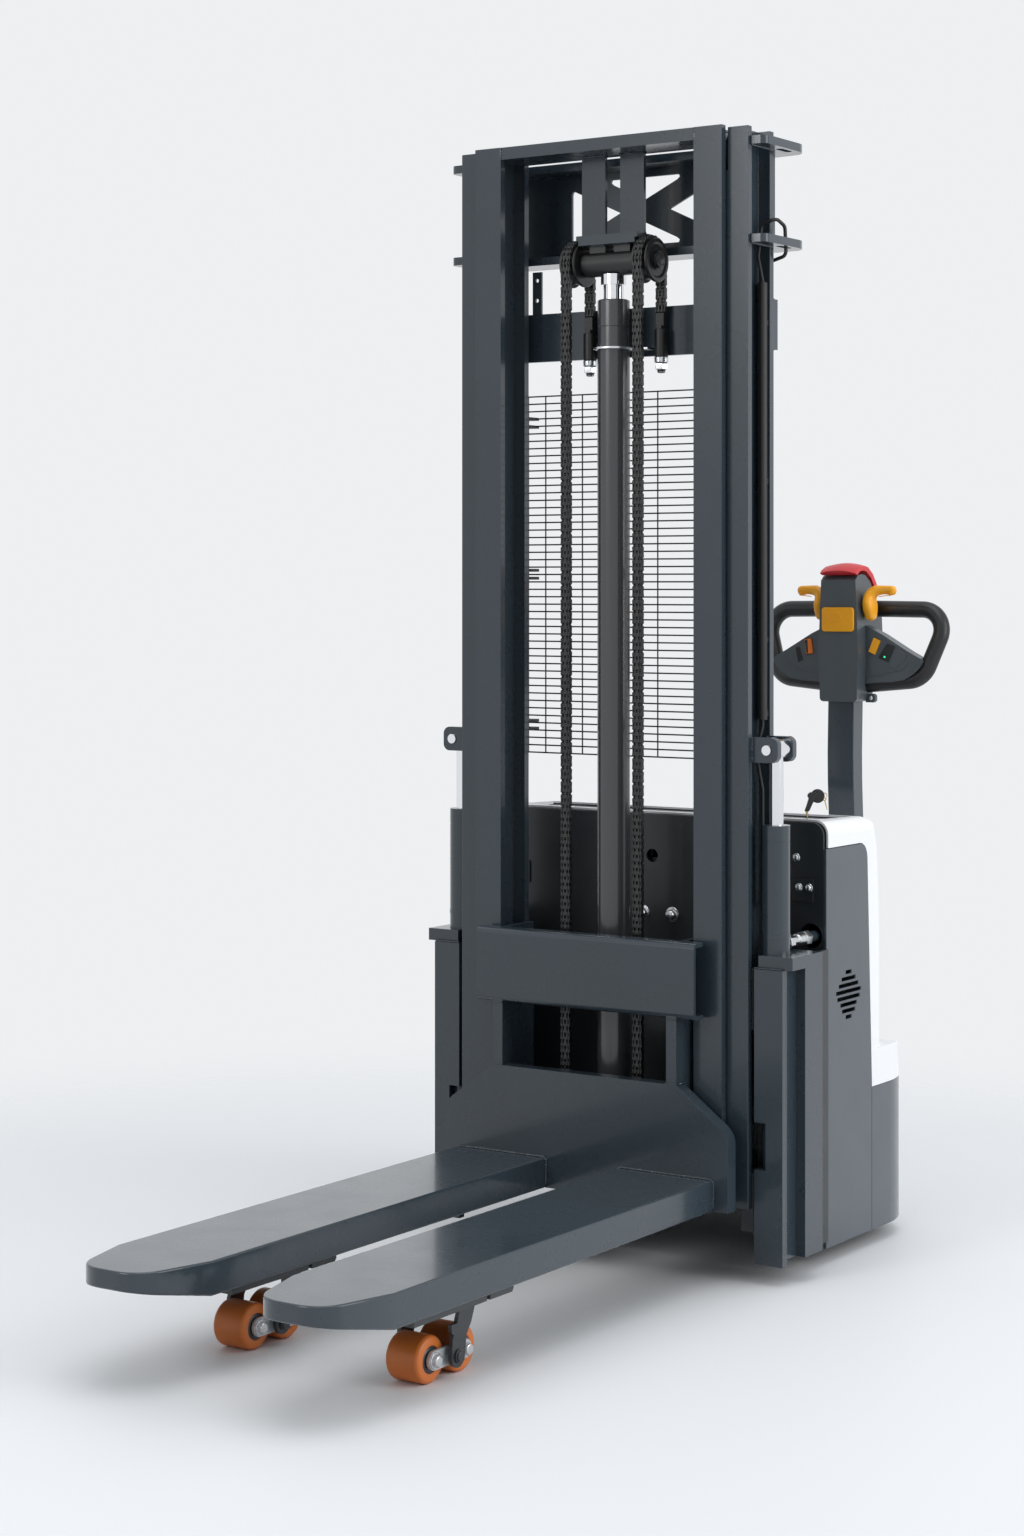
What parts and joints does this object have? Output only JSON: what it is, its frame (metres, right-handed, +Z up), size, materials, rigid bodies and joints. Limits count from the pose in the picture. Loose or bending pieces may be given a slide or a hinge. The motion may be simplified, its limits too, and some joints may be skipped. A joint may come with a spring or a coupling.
{
  "type": "electric stacker",
  "caption": "Walk-behind electric stacker that lifts itself, with straddle legs inside pressed forks, a two-stage chain mast, side cylinders and a tiller.",
  "frame": {"origin": "on the floor under the middle of the bounding box", "axes": "+Z up, forks point to -Y, the operator's tiller is at +Y, +X is the right side seen from the forks' tips looking back at the mast"},
  "size_m": [0.8433, 1.9012, 2.172],
  "materials": {
    "frame_grey": "semi-gloss",
    "dark_steel": "semi-gloss",
    "cover_white": "gloss",
    "zinc": "satin",
    "chrome": "polished",
    "black_plastic": "matte",
    "black_metal": "satin",
    "wheel_orange": "satin",
    "wheel_black": "matte",
    "control_yellow": "satin",
    "control_red": "satin",
    "speed_orange": "satin"
  },
  "bodies": {
    "chassis": {"chassis_frame": "dark_steel", "front_bulkhead": "dark_steel", "guide_column_right": "frame_grey", "guide_column_left": "frame_grey", "straddle_leg_right": "frame_grey", "straddle_leg_left": "frame_grey", "side_barrels": "frame_grey", "side_panels": "frame_grey", "top_cover": "cover_white", "base_shroud": "frame_grey", "batteries": "black_plastic", "hydraulic_power_pack": "zinc", "motor_controller": "black_metal", "key_switch": "black_plastic", "bulkhead_bolts": "zinc"},
    "right_bogie": {"bogie_right": "zinc"},
    "left_bogie": {"bogie_left": "zinc"},
    "right_front_load_wheel": {"load_wheel_right_front": "wheel_orange"},
    "right_rear_load_wheel": {"load_wheel_right_rear": "wheel_orange"},
    "left_front_load_wheel": {"load_wheel_left_front": "wheel_orange"},
    "left_rear_load_wheel": {"load_wheel_left_rear": "wheel_orange"},
    "steered_drive": {"drive_unit": "black_metal", "tiller_base": "dark_steel"},
    "traction_wheel": {"drive_wheel": "wheel_black"},
    "castor_swivel": {"castor_fork": "zinc"},
    "castor_roller": {"castor_wheel": "wheel_black"},
    "tiller": {"tiller_arm": "dark_steel", "tiller_head": "black_metal", "handle_loop": "black_plastic"},
    "belly_cap": {"belly_button": "control_red"},
    "horn_cap": {"horn_button": "control_yellow"},
    "travel_levers": {"butterfly_levers": "control_yellow"},
    "lift_switch": {"lift_rocker": "control_yellow"},
    "speed_switch": {"speed_rocker": "speed_orange"},
    "start_key": {"key": "black_plastic"},
    "outer_mast": {"outer_column_right": "frame_grey", "outer_column_left": "frame_grey", "upper_cross_frame": "frame_grey", "outer_crossbars": "frame_grey", "mesh_guard": "black_metal", "chain_anchors": "black_metal", "lift_barrel": "black_metal", "cylinder_clamp": "zinc", "side_rods": "chrome", "clevis_brackets": "frame_grey", "mast_cable": "black_plastic", "chain_rear_strands": "black_metal"},
    "outer_top_rollers": {"top_rollers": "dark_steel"},
    "inner_mast": {"inner_mast_frame": "frame_grey", "lift_rod": "chrome", "chain_front_strands": "black_metal", "chain_wraps": "black_metal"},
    "inner_foot_rollers": {"bottom_rollers": "dark_steel"},
    "chain_sheaves": {"chain_wheels": "black_metal"},
    "carriage": {"carriage_frame": "frame_grey", "fork_right": "frame_grey", "fork_left": "frame_grey"},
    "carriage_top_rollers": {"carriage_rollers_upper": "dark_steel"},
    "carriage_foot_rollers": {"carriage_rollers_lower": "dark_steel"}
  },
  "joints": [
    {"name": "self_lift", "type": "slide", "parent": "chassis", "child": "outer_mast", "axis": [0, 0, 1], "range_m": [0, 0.6]},
    {"name": "mast_lift", "type": "slide", "parent": "outer_mast", "child": "inner_mast", "axis": [0, 0, 1], "range_m": [0, 1.45], "deforming": ["chain_rear_strands"]},
    {"name": "carriage_lift", "type": "slide", "parent": "inner_mast", "child": "carriage", "axis": [0, 0, 1], "range_m": [0, 1.45], "deforming": ["chain_front_strands"]},
    {"name": "chain_wheel_spin", "type": "hinge", "parent": "inner_mast", "child": "chain_sheaves", "pos_m": [-0.00617, 0.3006, 1.936], "axis": [1, 0, 0], "continuous": true},
    {"name": "foot_roller_spin", "type": "hinge", "parent": "inner_mast", "child": "inner_foot_rollers", "pos_m": [-0.00617, 0.3006, 0.192], "axis": [1, 0, 0], "continuous": true},
    {"name": "top_roller_spin", "type": "hinge", "parent": "outer_mast", "child": "outer_top_rollers", "pos_m": [-0.00617, 0.2816, 2.128], "axis": [1, 0, 0], "continuous": true},
    {"name": "carriage_top_roller_spin", "type": "hinge", "parent": "carriage", "child": "carriage_top_rollers", "pos_m": [-0.00617, 0.2816, 0.575], "axis": [1, 0, 0], "continuous": true},
    {"name": "carriage_foot_roller_spin", "type": "hinge", "parent": "carriage", "child": "carriage_foot_rollers", "pos_m": [-0.00617, 0.2816, 0.255], "axis": [1, 0, 0], "continuous": true},
    {"name": "right_bogie_pivot", "type": "hinge", "parent": "chassis", "child": "right_bogie", "pos_m": [0.17733, -0.5679, 0.04], "axis": [1, 0, 0], "range_deg": [-8, 8]},
    {"name": "right_front_wheel_spin", "type": "hinge", "parent": "right_bogie", "child": "right_front_load_wheel", "pos_m": [0.17733, -0.6119, 0.04], "axis": [1, 0, 0], "continuous": true},
    {"name": "right_rear_wheel_spin", "type": "hinge", "parent": "right_bogie", "child": "right_rear_load_wheel", "pos_m": [0.17733, -0.5239, 0.04], "axis": [1, 0, 0], "continuous": true},
    {"name": "left_bogie_pivot", "type": "hinge", "parent": "chassis", "child": "left_bogie", "pos_m": [-0.18967, -0.5679, 0.04], "axis": [1, 0, 0], "range_deg": [-8, 8]},
    {"name": "left_front_wheel_spin", "type": "hinge", "parent": "left_bogie", "child": "left_front_load_wheel", "pos_m": [-0.18967, -0.6119, 0.04], "axis": [1, 0, 0], "continuous": true},
    {"name": "left_rear_wheel_spin", "type": "hinge", "parent": "left_bogie", "child": "left_rear_load_wheel", "pos_m": [-0.18967, -0.5239, 0.04], "axis": [1, 0, 0], "continuous": true},
    {"name": "steering", "type": "hinge", "parent": "chassis", "child": "steered_drive", "pos_m": [0.20683, 0.7956, 0], "axis": [0, 0, 1], "range_deg": [-80, 80]},
    {"name": "drive_wheel_spin", "type": "hinge", "parent": "steered_drive", "child": "traction_wheel", "pos_m": [0.20683, 0.7956, 0.103], "axis": [1, 0, 0], "continuous": true},
    {"name": "castor_turn", "type": "hinge", "parent": "chassis", "child": "castor_swivel", "pos_m": [-0.21917, 0.7756, 0], "axis": [0, 0, 1], "continuous": true},
    {"name": "castor_wheel_spin", "type": "hinge", "parent": "castor_swivel", "child": "castor_roller", "pos_m": [-0.21917, 0.8106, 0.0625], "axis": [1, 0, 0], "continuous": true},
    {"name": "tiller_pitch", "type": "hinge", "parent": "steered_drive", "child": "tiller", "pos_m": [0.20683, 0.8506, 0.455], "axis": [-1, 0, 0], "range_deg": [0, 80], "stiffness_Nm_per_rad": 35, "springref_deg": -51.57},
    {"name": "belly_press", "type": "slide", "parent": "tiller", "child": "belly_cap", "axis": [0, -0.6, -0.8], "range_m": [0, 0.004], "stiffness_N_per_m": 1500, "springref_m": -0.001},
    {"name": "horn_press", "type": "slide", "parent": "tiller", "child": "horn_cap", "axis": [0, 1, 0], "range_m": [0, 0.003], "stiffness_N_per_m": 1500, "springref_m": -0.0005},
    {"name": "travel_turn", "type": "hinge", "parent": "tiller", "child": "travel_levers", "pos_m": [0.20683, 0.8736, 1.266], "axis": [1, 0, 0], "range_deg": [-20, 20], "stiffness_Nm_per_rad": 1.5},
    {"name": "lift_rocker_tilt", "type": "hinge", "parent": "tiller", "child": "lift_switch", "pos_m": [0.27283, 0.8736, 1.182], "axis": [0.9205, 0, -0.3907], "range_deg": [-12, 12], "stiffness_Nm_per_rad": 0.3},
    {"name": "speed_rocker_tilt", "type": "hinge", "parent": "tiller", "child": "speed_switch", "pos_m": [0.12083, 0.8736, 1.18], "axis": [0.9903, 0, 0.1392], "range_deg": [-12, 12], "stiffness_Nm_per_rad": 0.3},
    {"name": "key_turn", "type": "hinge", "parent": "chassis", "child": "start_key", "pos_m": [0.31183, 0.5036, 0.855], "axis": [0, 0, 1], "range_deg": [0, 90]}
  ],
  "couplings": [
    {"joint": "carriage_lift", "follows": "mast_lift", "ratio": 1},
    {"joint": "chain_wheel_spin", "follows": "mast_lift", "rad_per_m": -22.988},
    {"joint": "foot_roller_spin", "follows": "mast_lift", "rad_per_m": -28.985},
    {"joint": "top_roller_spin", "follows": "mast_lift", "rad_per_m": 28.985},
    {"joint": "carriage_top_roller_spin", "follows": "mast_lift", "rad_per_m": 28.985},
    {"joint": "carriage_foot_roller_spin", "follows": "mast_lift", "rad_per_m": -28.985}
  ]
}
